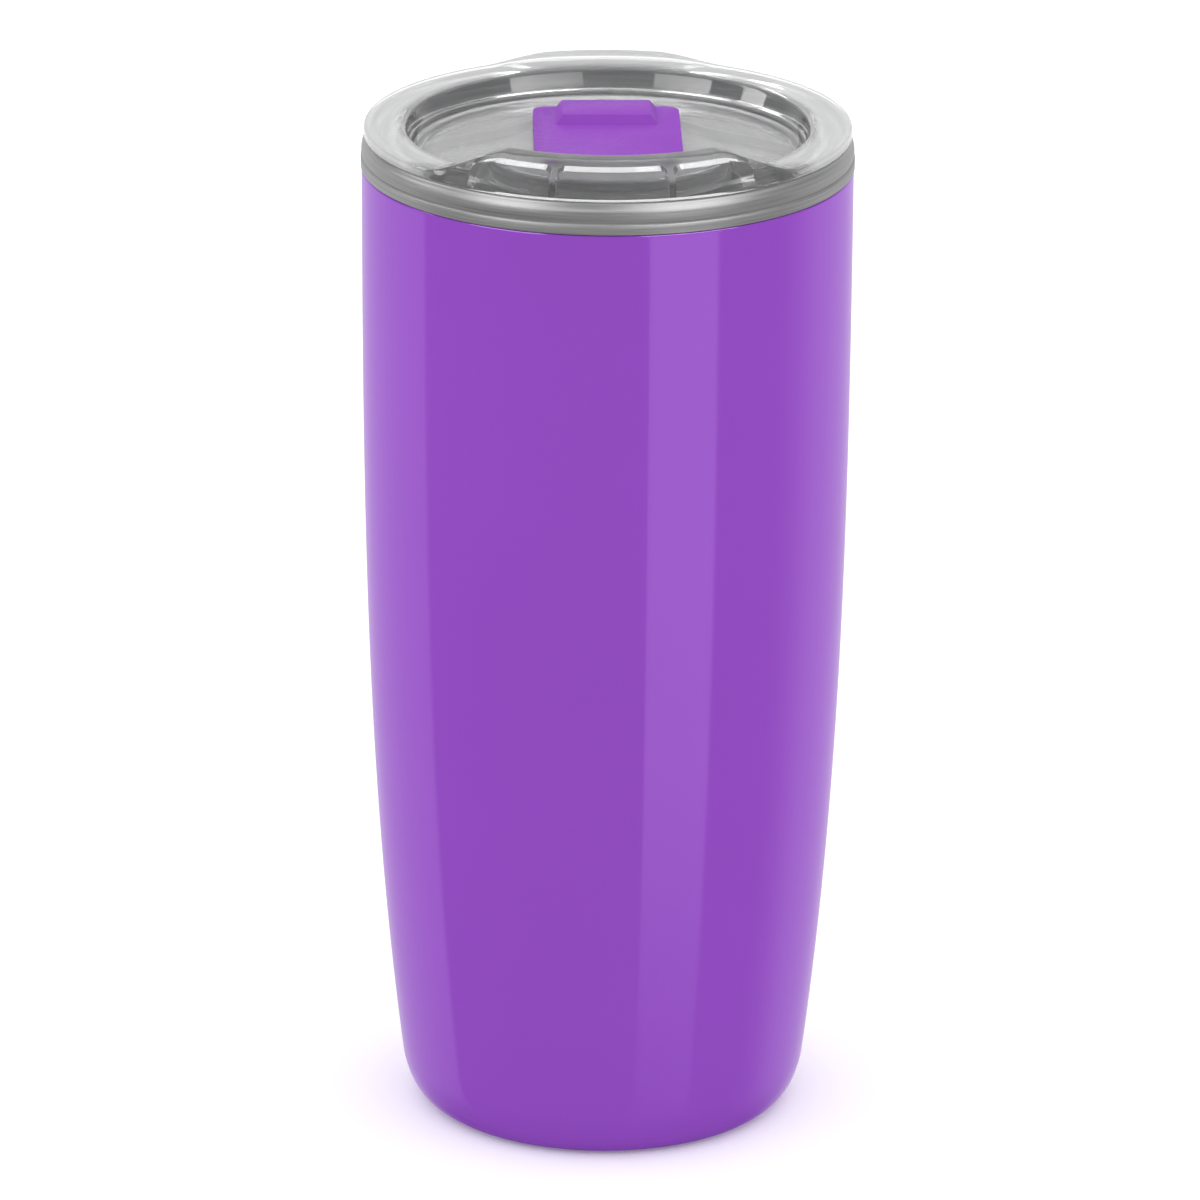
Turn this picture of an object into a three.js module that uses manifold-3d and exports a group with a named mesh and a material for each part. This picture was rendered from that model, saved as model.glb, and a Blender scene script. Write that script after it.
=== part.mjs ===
// Double-wall vacuum tumbler with a clear press-in lid and a sliding closure.
// Millimetres. Z is up, the base stands on z = 0, and the drinking side faces -Y.
import * as THREE from 'three';
import { mergeVertices } from 'three/addons/utils/BufferGeometryUtils.js';
import { ConvexGeometry } from 'three/addons/geometries/ConvexGeometry.js';
import Module from 'manifold-3d';

const wasm = await Module();
wasm.setup();

// ---- driving dimensions ----
const WALL_SEGMENTS = 48;
const LID_SEGMENTS = 72;
const SMALL_SEGMENTS = 24;
const FIT_GAP = 0.3;
const SEAT_GAP = 0.1;

const BODY = {
  rimRadius: 44,
  height: 177.9,
  taper: 8.1,
  cornerTop: 8,
  cornerRadius: 35.3,
  footOuter: 31,
  footInner: 29,
  wall: 0.6,
};
const LINER = { vacuumGap: 2.5, wall: 0.5, floor: 9.8, cornerTop: 22, cornerFlat: 22, neckTop: 175.4 };
// The liner flares out at the mouth, is folded over there, and shows outside as a bare band.
const LIP = {
  top: 183.7,
  bandTop: 179.9,
  bandRadius: 44.15,
  bandStep: 0.3,
  beadBulge: 44.35,
  beadTop: 183,
  shoulder: 43.55,
  crest: 43.1,
  mouthRadius: 42.7,
  mouthEase: 0.5,
  ledge: 178.6,
};
const BASE = { disc: 3, skirtBottom: 0.5, sheet: 0.7, holeRadius: 1.5, ease: 0.5 };
const COVER = { bottom: 1.7, thickness: 0.6, ease: 0.5 };
const GETTER = { x: 14, y: 8, radius: 6.2, height: 3, sheet: 0.4, pellet: 2.3 };

const LID = {
  flangeBottom: LIP.top + SEAT_GAP,
  flangeRadius: 43.6,
  neckRadius: LIP.mouthRadius - FIT_GAP,
  neckBottom: LIP.ledge + 0.5,
  floorTop: 181,
  floorThickness: 2,
  plugBottom: 170,
  plugInner: 37,
  plugOuter: 39.7,
  plugTop: 177.6,
  grooveBottom: 173.2,
  grooveTop: 176,
  grooveRadius: 38.3,
};
// The rim's section on the sides of the lid, at the front drinking lip, and at the back one.
const RIM_SIDE = { outer: 43.6, outerTop: 185.75, inner: 36.3, innerTop: 185.4, foot: 34.3 };
const RIM_FRONT = { outer: 36.2, outerTop: 189.3, inner: 33.1, innerTop: 189.5, foot: 33.6 };
const RIM_BACK = { outer: 42, outerTop: 187.6, inner: 36.3, innerTop: 185.4, foot: 34.3 };
const RIM_EASE = 0.7;
const FLANGE_EASE = 0.4;
const FLOOR_FILLET = 1.8;
// Half-angles in degrees: a lip stands at full height inside "full" and is gone outside "gone".
const FRONT_LIP = { full: 31, gone: 49 };
const BACK_LIP = { full: 13, gone: 31 };

// Pockets cored out of the thick front lip from below, between ribs. Angles are from the front.
const POCKET = { inner: 35.5, outer: 36.8, roof: 2 };
const POCKET_ANGLES = [[-41, -17], [-15.2, 15.2], [17, 41]];
const DRINK_HOLE = { halfWidth: 7.5, front: -25.2, back: -19.4, corner: 2.6 };
const VENT = { y: 24, radius: 1.1 };
const SLIDE_TRAVEL = 10;

const PLATE = { halfWidth: 13.2, front: -27.5, back: 19.8, corner: 2.8, bottom: 181.3, top: 183 };
const GRIP = { front: 7.6, back: 18.9, halfWidth: 9.35, top: 184.6, slope: 1.2, endSlope: 1.45 };
const LEG = { x: 10.5, y: 1.4, width: 2, length: 5, bottom: 177.2, hook: 1.1, hookHeight: 1.4 };
const SEAL = { halfWidth: 10.4, front: -26.4, back: -17.8, corner: 2, bottom: 181.05, top: 182.2 };
const GASKET = { inner: 38.45, body: 39.4, fin: 40.1 };

// ---- shape helpers ----
const bodyRadius = (z) => BODY.rimRadius - BODY.taper * (1 - z / BODY.height) ** 3;
const linerOuter = (z) => bodyRadius(z) - BODY.wall - LINER.vacuumGap;
const linerInner = (z) => linerOuter(z) - LINER.wall;

// Continues an outline along a wall whose radius is a function of height.
function followWall(outline, radiusAt, from, to, steps) {
  for (let i = 1; i <= steps; i += 1) {
    const z = THREE.MathUtils.lerp(from, to, i / steps);
    outline.lineTo(radiusAt(z), z);
  }
}

// Turns an outline of radius and height about Z. Angle 0 of the turn faces -Y.
function turned(outline, segments, curveSteps = 3) {
  const points = outline.getPoints(curveSteps);
  if (points[0].x > 0) {
    points.push(points[0].clone());
  }
  return new THREE.LatheGeometry(points, segments).rotateX(Math.PI / 2);
}

// A flat slab with rounded corners, between two heights.
function slab({ halfWidth, front, back, corner }, bottom, top) {
  const shape = new THREE.Shape();
  shape.absarc(halfWidth - corner, front + corner, corner, -Math.PI / 2, 0);
  shape.absarc(halfWidth - corner, back - corner, corner, 0, Math.PI / 2);
  shape.absarc(-halfWidth + corner, back - corner, corner, Math.PI / 2, Math.PI);
  shape.absarc(-halfWidth + corner, front + corner, corner, Math.PI, 1.5 * Math.PI);
  const settings = { depth: top - bottom, bevelEnabled: false, curveSegments: 4 };
  return new THREE.ExtrudeGeometry(shape, settings).translate(0, 0, bottom);
}

function block(x0, x1, y0, y1, z0, z1) {
  const box = new THREE.BoxGeometry(x1 - x0, y1 - y0, z1 - z0);
  return box.translate((x0 + x1) / 2, (y0 + y1) / 2, (z0 + z1) / 2);
}

function post(radius, x, y, bottom, top, segments) {
  const cylinder = new THREE.CylinderGeometry(radius, radius, top - bottom, segments);
  return cylinder.rotateX(Math.PI / 2).translate(x, y, (bottom + top) / 2);
}

// ---- joining and cutting ----
function solid(geometry) {
  const bare = geometry.clone();
  bare.deleteAttribute('normal');
  bare.deleteAttribute('uv');
  const merged = mergeVertices(bare, 1e-4);
  const corners = merged.index.array;
  const kept = [];
  for (let i = 0; i < corners.length; i += 3) {
    const [a, b, c] = corners.slice(i, i + 3);
    if (a !== b && b !== c && c !== a) {
      kept.push(a, b, c);
    }
  }
  const vertProperties = new Float32Array(merged.attributes.position.array);
  const triVerts = new Uint32Array(kept);
  return new wasm.Manifold(new wasm.Mesh({ numProp: 3, vertProperties, triVerts }));
}

function geometryOf(manifold) {
  const mesh = manifold.getMesh();
  const geometry = new THREE.BufferGeometry();
  geometry.setAttribute('position', new THREE.BufferAttribute(mesh.vertProperties, 3));
  geometry.setIndex(new THREE.BufferAttribute(mesh.triVerts, 1));
  return geometry;
}

// ---- vessel ----
function outerShell() {
  const outline = new THREE.Path();
  const inside = (z) => bodyRadius(z) - BODY.wall;
  outline.moveTo(BODY.footInner, 0);
  outline.lineTo(BODY.footOuter, 0);
  outline.quadraticCurveTo(BODY.cornerRadius, 0, bodyRadius(BODY.cornerTop), BODY.cornerTop);
  followWall(outline, bodyRadius, BODY.cornerTop, BODY.height, 7);
  outline.lineTo(inside(BODY.height), BODY.height);
  followWall(outline, inside, BODY.height, BODY.cornerTop, 7);
  outline.quadraticCurveTo(BODY.cornerRadius - BODY.wall, BODY.wall, BODY.footOuter, BODY.wall);
  outline.lineTo(BODY.footInner, BODY.wall);
  return turned(outline, WALL_SEGMENTS, 4);
}

// Carries the liner's outline out under the lip, up the bare band, over the crest and down the mouth.
function foldedLip(outline) {
  const { top, bandTop, bandRadius, bandStep, beadBulge, beadTop, shoulder, crest } = LIP;
  const { mouthRadius, mouthEase, ledge } = LIP;
  const bottom = BODY.height + SEAT_GAP;
  outline.quadraticCurveTo(linerOuter(LINER.neckTop), bottom, BODY.rimRadius - BODY.wall, bottom);
  outline.lineTo(bandRadius, bottom);
  outline.lineTo(bandRadius, bandTop);
  outline.lineTo(bandRadius - bandStep, bandTop + bandStep / 2);
  outline.quadraticCurveTo(beadBulge, (bandTop + beadTop) / 2, shoulder, beadTop);
  outline.quadraticCurveTo(shoulder - (shoulder - crest) / 3, top, crest, top);
  outline.quadraticCurveTo(mouthRadius, top, mouthRadius, top - mouthEase);
  outline.lineTo(mouthRadius, ledge + mouthEase);
  outline.quadraticCurveTo(mouthRadius, ledge, mouthRadius - mouthEase, ledge);
  outline.quadraticCurveTo(linerInner(LINER.neckTop), ledge, linerInner(LINER.neckTop), LINER.neckTop);
}

function innerLiner() {
  const { floor, wall, cornerTop, cornerFlat, neckTop } = LINER;
  const outline = new THREE.Path();
  outline.moveTo(0, floor);
  outline.lineTo(cornerFlat, floor);
  outline.quadraticCurveTo(linerOuter(floor), floor, linerOuter(cornerTop), cornerTop);
  followWall(outline, linerOuter, cornerTop, neckTop, 6);
  foldedLip(outline);
  followWall(outline, linerInner, neckTop, cornerTop, 6);
  outline.quadraticCurveTo(linerInner(floor), floor + wall, cornerFlat, floor + wall);
  outline.lineTo(0, floor + wall);
  return turned(outline, WALL_SEGMENTS, 4);
}

// The pressed disc that closes the vacuum space, its skirt welded inside the foot.
function outerBase() {
  const { disc, skirtBottom, sheet, holeRadius, ease } = BASE;
  const skirt = BODY.footInner - FIT_GAP;
  const outline = new THREE.Path();
  outline.moveTo(holeRadius, disc);
  outline.lineTo(skirt - sheet - ease, disc);
  outline.quadraticCurveTo(skirt - sheet, disc, skirt - sheet, disc - ease);
  outline.lineTo(skirt - sheet, skirtBottom);
  outline.lineTo(skirt, skirtBottom);
  outline.lineTo(skirt, disc + sheet - ease);
  outline.quadraticCurveTo(skirt, disc + sheet, skirt - ease, disc + sheet);
  outline.lineTo(holeRadius, disc + sheet);
  return turned(outline, WALL_SEGMENTS);
}

function baseCover() {
  const { bottom, thickness, ease } = COVER;
  const radius = BODY.footInner - FIT_GAP - BASE.sheet - FIT_GAP;
  const outline = new THREE.Path();
  outline.moveTo(0, bottom);
  outline.lineTo(radius - ease, bottom);
  outline.quadraticCurveTo(radius, bottom, radius, bottom + ease);
  outline.lineTo(radius, bottom + thickness);
  outline.lineTo(0, bottom + thickness);
  return turned(outline, WALL_SEGMENTS);
}

// The fused plug that closes the hole the air was drawn out through.
function sealBead() {
  const stem = BASE.holeRadius - FIT_GAP;
  const capTop = BASE.disc - SEAT_GAP;
  const capBottom = COVER.bottom + COVER.thickness + SEAT_GAP;
  const outline = new THREE.Path();
  outline.moveTo(0, capBottom);
  outline.quadraticCurveTo(2 * stem, capBottom, 2.5 * stem, capTop);
  outline.lineTo(stem, capTop);
  outline.lineTo(stem, BASE.disc + BASE.sheet);
  outline.lineTo(0, BASE.disc + BASE.sheet + SEAT_GAP);
  return turned(outline, SMALL_SEGMENTS);
}

const getterFloor = BASE.disc + BASE.sheet + SEAT_GAP;

function getterHolder() {
  const { x, y, radius, height, sheet } = GETTER;
  const outline = new THREE.Path();
  outline.moveTo(0, getterFloor);
  outline.lineTo(radius, getterFloor);
  outline.lineTo(radius, getterFloor + height);
  outline.lineTo(radius - sheet, getterFloor + height);
  outline.lineTo(radius - sheet, getterFloor + sheet);
  outline.lineTo(0, getterFloor + sheet);
  return turned(outline, SMALL_SEGMENTS).translate(x, y, 0);
}

function getterPellet() {
  const { x, y, radius, sheet, pellet } = GETTER;
  const bottom = getterFloor + sheet + SEAT_GAP;
  return post(radius - sheet - FIT_GAP, x, y, bottom, bottom + pellet, SMALL_SEGMENTS);
}

// ---- lid ----
// The rim's section at an angle from the front: the sides' section, blended into a lip's where one is.
function rimAt(angle) {
  const fromFront = THREE.MathUtils.radToDeg(Math.acos(Math.cos(angle)));
  const front = THREE.MathUtils.smoothstep(-fromFront, -FRONT_LIP.gone, -FRONT_LIP.full);
  const back = THREE.MathUtils.smoothstep(fromFront, 180 - BACK_LIP.gone, 180 - BACK_LIP.full);
  const rim = {};
  for (const key of Object.keys(RIM_SIDE)) {
    rim[key] = RIM_SIDE[key];
    rim[key] += (RIM_FRONT[key] - RIM_SIDE[key]) * front;
    rim[key] += (RIM_BACK[key] - RIM_SIDE[key]) * back;
  }
  return rim;
}

// The lid's section: floor, plug with the gasket's groove, flared neck, flange, rim and recess.
function lidSection(rim) {
  const { flangeBottom, flangeRadius, neckRadius, neckBottom, floorTop, floorThickness } = LID;
  const { plugBottom, plugInner, plugOuter, plugTop } = LID;
  const outline = new THREE.Path();
  outline.moveTo(0, floorTop - floorThickness);
  outline.lineTo(plugInner, floorTop - floorThickness);
  outline.lineTo(plugInner, plugBottom);
  outline.lineTo(plugOuter - RIM_EASE, plugBottom);
  outline.lineTo(plugOuter, plugBottom + RIM_EASE);
  outline.lineTo(plugOuter, LID.grooveBottom);
  outline.lineTo(LID.grooveRadius, LID.grooveBottom);
  outline.lineTo(LID.grooveRadius, LID.grooveTop);
  outline.lineTo(plugOuter, LID.grooveTop);
  outline.lineTo(plugOuter, plugTop);
  outline.quadraticCurveTo(plugOuter, neckBottom, neckRadius - 2 * FLANGE_EASE, neckBottom);
  outline.quadraticCurveTo(neckRadius, neckBottom, neckRadius, neckBottom + 2 * FLANGE_EASE);
  outline.lineTo(neckRadius, flangeBottom);
  outline.lineTo(flangeRadius - FLANGE_EASE, flangeBottom);
  outline.quadraticCurveTo(flangeRadius, flangeBottom, flangeRadius, flangeBottom + FLANGE_EASE);
  outline.lineTo(rim.outer, rim.outerTop - RIM_EASE);
  outline.quadraticCurveTo(rim.outer, rim.outerTop, rim.outer - RIM_EASE, rim.outerTop);
  outline.lineTo(rim.inner + RIM_EASE, rim.innerTop);
  outline.quadraticCurveTo(rim.inner, rim.innerTop, rim.inner, rim.innerTop - RIM_EASE);
  outline.lineTo(rim.foot, floorTop + FLOOR_FILLET);
  outline.quadraticCurveTo(rim.foot, floorTop, rim.foot - FLOOR_FILLET, floorTop);
  outline.lineTo(0, floorTop);
  return outline.getPoints(3);
}

// The section of the space in the pockets. Their roof lies under the sloping face or the rim's top.
function pocketSection(rim) {
  const below = LID.floorTop - LID.floorThickness - 1;
  const slope = (rim.outerTop - LID.flangeBottom) / (LID.flangeRadius - rim.outer + FLANGE_EASE);
  const roofAt = (radius) => rim.outerTop - slope * Math.max(0, radius - rim.outer) - POCKET.roof;
  return [
    new THREE.Vector2(POCKET.inner, below),
    new THREE.Vector2(POCKET.outer, below),
    new THREE.Vector2(POCKET.outer, roofAt(POCKET.outer)),
    new THREE.Vector2(POCKET.inner, roofAt(POCKET.inner)),
    new THREE.Vector2(POCKET.inner, below),
  ];
}

// A turned body whose section changes with the angle, as the lips rise and fall.
function turnedWithLips(sectionAt) {
  const geometry = new THREE.LatheGeometry(sectionAt(RIM_SIDE), LID_SEGMENTS);
  const position = geometry.attributes.position;
  const rows = position.count / (LID_SEGMENTS + 1);
  for (let i = 0; i <= LID_SEGMENTS; i += 1) {
    const angle = (i / LID_SEGMENTS) * 2 * Math.PI;
    sectionAt(rimAt(angle)).forEach(({ x: radius, y: height }, j) => {
      position.setXYZ(i * rows + j, radius * Math.sin(angle), height, radius * Math.cos(angle));
    });
  }
  return solid(geometry.rotateX(Math.PI / 2));
}

// A wedge of space from the axis out past the rim, between two angles.
function wedge(start, end) {
  const reach = 2 * LID.flangeRadius;
  const corners = [];
  for (const z of [LID.plugBottom, RIM_FRONT.innerTop + 1]) {
    corners.push(new THREE.Vector3(0, 0, z));
    for (const degrees of [start, end]) {
      const angle = THREE.MathUtils.degToRad(degrees);
      corners.push(new THREE.Vector3(reach * Math.sin(angle), -reach * Math.cos(angle), z));
    }
  }
  return solid(new ConvexGeometry(corners));
}

function lidBody() {
  const below = LID.floorTop - LID.floorThickness - 1;
  const above = LID.floorTop + 1;
  const pocketRing = turnedWithLips(pocketSection);
  const cuts = [
    solid(slab(DRINK_HOLE, below, above)),
    solid(post(VENT.radius, 0, VENT.y, below, above, SMALL_SEGMENTS)),
  ];
  for (const [start, end] of POCKET_ANGLES) {
    cuts.push(pocketRing.intersect(wedge(start, end)));
  }
  for (const side of [-1, 1]) {
    const reach = LEG.width / 2 + FIT_GAP;
    const start = LEG.y - LEG.length / 2 - FIT_GAP;
    const end = LEG.y + LEG.length / 2 + SLIDE_TRAVEL + FIT_GAP;
    cuts.push(solid(block(side * LEG.x - reach, side * LEG.x + reach, start, end, below, above)));
  }
  let lid = turnedWithLips(lidSection);
  for (const cut of cuts) {
    lid = lid.subtract(cut);
  }
  return geometryOf(lid);
}

// A silicone ring with two thin fins that press on the liner.
function lidGasket() {
  const bottom = LID.grooveBottom + SEAT_GAP;
  const top = LID.grooveTop - SEAT_GAP;
  const pitch = (top - bottom) / 4;
  const outline = new THREE.Path();
  outline.moveTo(GASKET.inner, bottom);
  outline.lineTo(GASKET.body, bottom);
  outline.lineTo(GASKET.fin, bottom + pitch);
  outline.lineTo(GASKET.body, bottom + 2 * pitch);
  outline.lineTo(GASKET.fin, bottom + 3 * pitch);
  outline.lineTo(GASKET.body, top);
  outline.lineTo(GASKET.inner, top);
  return turned(outline, LID_SEGMENTS);
}

// ---- slider ----
function gripBar() {
  const { front, back, halfWidth, top, slope, endSlope } = GRIP;
  const foot = PLATE.top - FIT_GAP;
  const corners = [];
  for (const side of [-1, 1]) {
    for (const [y, inset] of [[front, slope], [back, -slope / 2]]) {
      corners.push(new THREE.Vector3(side * halfWidth, y, foot));
      corners.push(new THREE.Vector3(side * (halfWidth - endSlope), y + inset, top));
    }
  }
  return new ConvexGeometry(corners);
}

function slider() {
  const pocket = {
    halfWidth: SEAL.halfWidth + FIT_GAP,
    front: SEAL.front - FIT_GAP,
    back: SEAL.back + FIT_GAP,
    corner: SEAL.corner + FIT_GAP,
  };
  let piece = solid(slab(PLATE, PLATE.bottom, PLATE.top)).add(solid(gripBar()));
  for (const side of [-1, 1]) {
    const inner = side * (LEG.x - LEG.width / 2);
    const outer = side * (LEG.x + LEG.width / 2);
    const tip = side * (LEG.x + LEG.width / 2 + LEG.hook);
    const y0 = LEG.y - LEG.length / 2;
    const y1 = LEG.y + LEG.length / 2;
    const [legLeft, legRight] = [inner, outer].sort((a, b) => a - b);
    const [hookLeft, hookRight] = [inner, tip].sort((a, b) => a - b);
    piece = piece.add(solid(block(legLeft, legRight, y0, y1, LEG.bottom, PLATE.bottom + FIT_GAP)));
    const hookTop = LEG.bottom + LEG.hookHeight;
    piece = piece.add(solid(block(hookLeft, hookRight, y0, y1, LEG.bottom, hookTop)));
  }
  piece = piece.subtract(solid(slab(pocket, PLATE.bottom - 1, SEAL.top + SEAT_GAP)));
  return geometryOf(piece);
}

function sliderSeal() {
  return slab(SEAL, SEAL.bottom, SEAL.top);
}

// ---- assembly ----
const finish = {
  paint: { color: 0x8f4ab9, roughness: 0.25, metalness: 0.1 },
  steel: { color: 0xb8b8ba, roughness: 0.35, metalness: 1 },
  getter: { color: 0x5a5a5e, roughness: 0.8, metalness: 0.4 },
  bead: { color: 0x2d3a34, roughness: 0.2, metalness: 0 },
  clear: { color: 0xf2f5f6, roughness: 0.05, metalness: 0, transparent: true, opacity: 0.35 },
  slider: { color: 0x9a58c8, roughness: 0.35, metalness: 0 },
  silicone: { color: 0xd9dadb, roughness: 0.6, metalness: 0 },
};

const tumbler = new THREE.Group();

function addPiece(name, geometry, look) {
  const mesh = new THREE.Mesh(geometry, new THREE.MeshStandardMaterial(look));
  mesh.name = name;
  tumbler.add(mesh);
}

addPiece('outer_shell', outerShell(), finish.paint);
addPiece('inner_liner', innerLiner(), finish.steel);
addPiece('outer_base', outerBase(), finish.steel);
addPiece('base_cover', baseCover(), finish.steel);
addPiece('seal_bead', sealBead(), finish.bead);
addPiece('getter_holder', getterHolder(), finish.steel);
addPiece('getter_pellet', getterPellet(), finish.getter);
addPiece('lid_body', lidBody(), finish.clear);
addPiece('lid_gasket', lidGasket(), finish.silicone);
addPiece('slider', slider(), finish.slider);
addPiece('slider_seal', sliderSeal(), finish.silicone);

export default tumbler;
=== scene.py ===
"""The looks of an insulated tumbler with a clear lid and a purple slider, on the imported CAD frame.

Metres, Z up, the drinking side faces -Y. Sizes come from the frame's boxes where it has them.
"""

import math

import bmesh
import bpy
from mathutils import Matrix, Vector


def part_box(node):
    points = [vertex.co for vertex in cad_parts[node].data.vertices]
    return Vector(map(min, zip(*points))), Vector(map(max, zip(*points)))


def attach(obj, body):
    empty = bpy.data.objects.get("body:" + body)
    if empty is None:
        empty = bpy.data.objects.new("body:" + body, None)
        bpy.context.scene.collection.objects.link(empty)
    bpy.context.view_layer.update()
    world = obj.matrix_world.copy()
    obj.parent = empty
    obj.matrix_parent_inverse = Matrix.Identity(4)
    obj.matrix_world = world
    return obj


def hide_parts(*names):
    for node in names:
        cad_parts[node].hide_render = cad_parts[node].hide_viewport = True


MM = 0.001
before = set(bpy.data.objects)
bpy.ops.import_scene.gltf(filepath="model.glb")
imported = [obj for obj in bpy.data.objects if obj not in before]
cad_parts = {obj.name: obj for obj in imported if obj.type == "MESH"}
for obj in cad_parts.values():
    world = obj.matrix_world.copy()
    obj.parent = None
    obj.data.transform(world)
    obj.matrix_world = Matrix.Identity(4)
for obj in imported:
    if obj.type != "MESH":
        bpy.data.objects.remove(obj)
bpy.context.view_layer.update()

# ---- dimensions ----
ROUND_SEGMENTS = 192
SMALL_SEGMENTS = 64
VENT_SEGMENTS = 32
LID_SEGMENTS = 360
CORNER_STEPS = 8
EASE_STEPS = 5
POCKET_STEPS = 40
SHARP_ANGLE = math.radians(35)
SOFTENED_ANGLE = math.radians(32)
SOFTENED_SEGMENTS = 3
SEAT_GAP = 0.1 * MM
FIT_GAP = 0.3 * MM
# How far solids reach into each other where they are joined.
JOIN_OVERLAP = 0.3 * MM

RIM_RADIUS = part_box("outer_shell")[1].x
BODY_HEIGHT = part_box("outer_shell")[1].z
LIP_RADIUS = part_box("inner_liner")[1].x
LIP_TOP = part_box("inner_liner")[1].z
LINER_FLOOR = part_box("inner_liner")[0].z

TAPER = 8.1 * MM
CORNER_TOP = 8 * MM
CORNER_RADIUS = 35.3 * MM
FOOT_OUTER = 31 * MM
FOOT_INNER = 29 * MM
SHELL_WALL = 0.6 * MM
VACUUM_GAP = 2.5 * MM
LINER_WALL = 0.5 * MM
LINER_CORNER_TOP = 22 * MM
LINER_CORNER_FLAT = 22 * MM
NECK_TOP = 175.4 * MM
# The liner flares out at the mouth, is folded over there, and shows outside as a bare band.
LIP_BAND_TOP = 179.9 * MM
LIP_BAND_STEP = 0.3 * MM
LIP_BEAD_BULGE = 44.35 * MM
LIP_BEAD_TOP = 183 * MM
LIP_SHOULDER = 43.55 * MM
LIP_CREST = 43.1 * MM
MOUTH_RADIUS = 42.7 * MM
MOUTH_EASE = 0.5 * MM
MOUTH_LEDGE = 178.6 * MM

LID_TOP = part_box("lid_body")[1].z
PLUG_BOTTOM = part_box("lid_body")[0].z
FLANGE_BOTTOM = LIP_TOP + SEAT_GAP
FLANGE_RADIUS = 43.6 * MM
FLANGE_EASE = 0.4 * MM
LID_NECK_RADIUS = MOUTH_RADIUS - FIT_GAP
LID_NECK_BOTTOM = MOUTH_LEDGE + 0.5 * MM
FLOOR_TOP = 181 * MM
FLOOR_BOTTOM = 179 * MM
PLUG_INNER = 37 * MM
PLUG_OUTER = 39.7 * MM
PLUG_TOP = 177.6 * MM
GROOVE_BOTTOM = 173.2 * MM
GROOVE_TOP = 176 * MM
GROOVE_RADIUS = 38.3 * MM
PLUG_FILLET = 0.8 * MM
PLUG_EASE = 0.4 * MM
GROOVE_EASE = 0.15 * MM
RIM_EASE = 0.7 * MM
FLOOR_FILLET = 1.8 * MM
# The rim's section on the sides of the lid, at the front drinking lip, and at the back one.
RIM_SIDE = {
    "outer": 43.6 * MM,
    "outer_top": 185.75 * MM,
    "inner": 36.3 * MM,
    "inner_top": 185.4 * MM,
    "foot": 34.3 * MM,
}
RIM_FRONT = {
    "outer": 36.2 * MM,
    "outer_top": 189.3 * MM,
    "inner": 33.1 * MM,
    "inner_top": LID_TOP,
    "foot": 33.6 * MM,
}
RIM_BACK = {
    "outer": 42 * MM,
    "outer_top": 187.6 * MM,
    "inner": 36.3 * MM,
    "inner_top": 185.4 * MM,
    "foot": 34.3 * MM,
}
# Half-angles in degrees: a lip is at full height inside the first and gone outside the second.
FRONT_LIP = (31, 49)
BACK_LIP = (13, 31)
# Pockets cored out of the thick front lip from below, between ribs. Angles are from the front.
POCKET_INNER = 35.5 * MM
POCKET_OUTER = 36.8 * MM
POCKET_ROOF = 2 * MM
POCKET_CORNER = 1.5 * MM
POCKET_ANGLES = ((-41, -17), (-15.2, 15.2), (17, 41))
DRINK_HOLE_HALF = 7.5 * MM
DRINK_HOLE_FRONT = -25.2 * MM
DRINK_HOLE_BACK = -19.4 * MM
DRINK_HOLE_CORNER = 2.6 * MM
VENT_RADIUS = 1.1 * MM
VENT_Y = 24 * MM

SLIDER_LOW, SLIDER_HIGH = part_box("slider")
SEAL_LOW, SEAL_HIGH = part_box("slider_seal")
PLATE_BOTTOM = 181.3 * MM
PLATE_TOP = 183 * MM
PLATE_CORNER = 2.8 * MM
GRIP_FRONT = 7.6 * MM
GRIP_BACK = 18.9 * MM
GRIP_HALF = 9.35 * MM
GRIP_END_SLOPE = 1.45 * MM
GRIP_SLOPE = 1.2 * MM
SLIDER_BEVEL = 0.28 * MM
SEAL_CORNER = 2 * MM
SEAL_BEVEL = 0.2 * MM
SEAL_POCKET_BOTTOM = 180 * MM
LEG_X = 10.5 * MM
LEG_Y = 1.4 * MM
LEG_WIDTH = 2 * MM
LEG_LENGTH = 5 * MM
LEG_HOOK = 1.1 * MM
HOOK_HEIGHT = 1.4 * MM
TRAVEL = 10 * MM


def body_radius(z):
    return RIM_RADIUS - TAPER * (1 - z / BODY_HEIGHT) ** 3


def liner_outer(z):
    return body_radius(z) - SHELL_WALL - VACUUM_GAP


def liner_inner(z):
    return liner_outer(z) - LINER_WALL


# ---- outlines: lists of (radius, height), outward along the bottom and up the outside ----
def curve(start, control, end, steps=10):
    """Points along a quadratic curve, both ends included."""
    a, b, c = Vector(start), Vector(control), Vector(end)
    shares = [k / steps for k in range(steps + 1)]
    return [tuple(a.lerp(b, share).lerp(b.lerp(c, share), share)) for share in shares]


def wall(radius_at, low, high, steps):
    """Points up (or down) a wall whose radius depends on the height, both ends included."""
    heights = [low + (high - low) * k / steps for k in range(steps + 1)]
    return [(radius_at(z), z) for z in heights]


def eased(corners):
    """A closed outline. A corner (radius, height, reach) is rounded over that reach on both sides."""
    points = []
    for i, corner in enumerate(corners):
        here = Vector(corner[:2])
        if len(corner) == 2:
            points.append(tuple(here))
            continue
        before = Vector(corners[i - 1][:2]) - here
        after = Vector(corners[(i + 1) % len(corners)][:2]) - here
        start = here + before.normalized() * corner[2]
        end = here + after.normalized() * corner[2]
        points += curve(start, here, end, EASE_STEPS)
    return points


# ---- meshes ----
def shade(mesh, sharp_angle=SHARP_ANGLE):
    """Smooth shading, but sharp along the edges that turn by more than the angle."""
    mesh.shade_smooth()
    mesh.set_sharp_from_angle(angle=sharp_angle)


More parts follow.
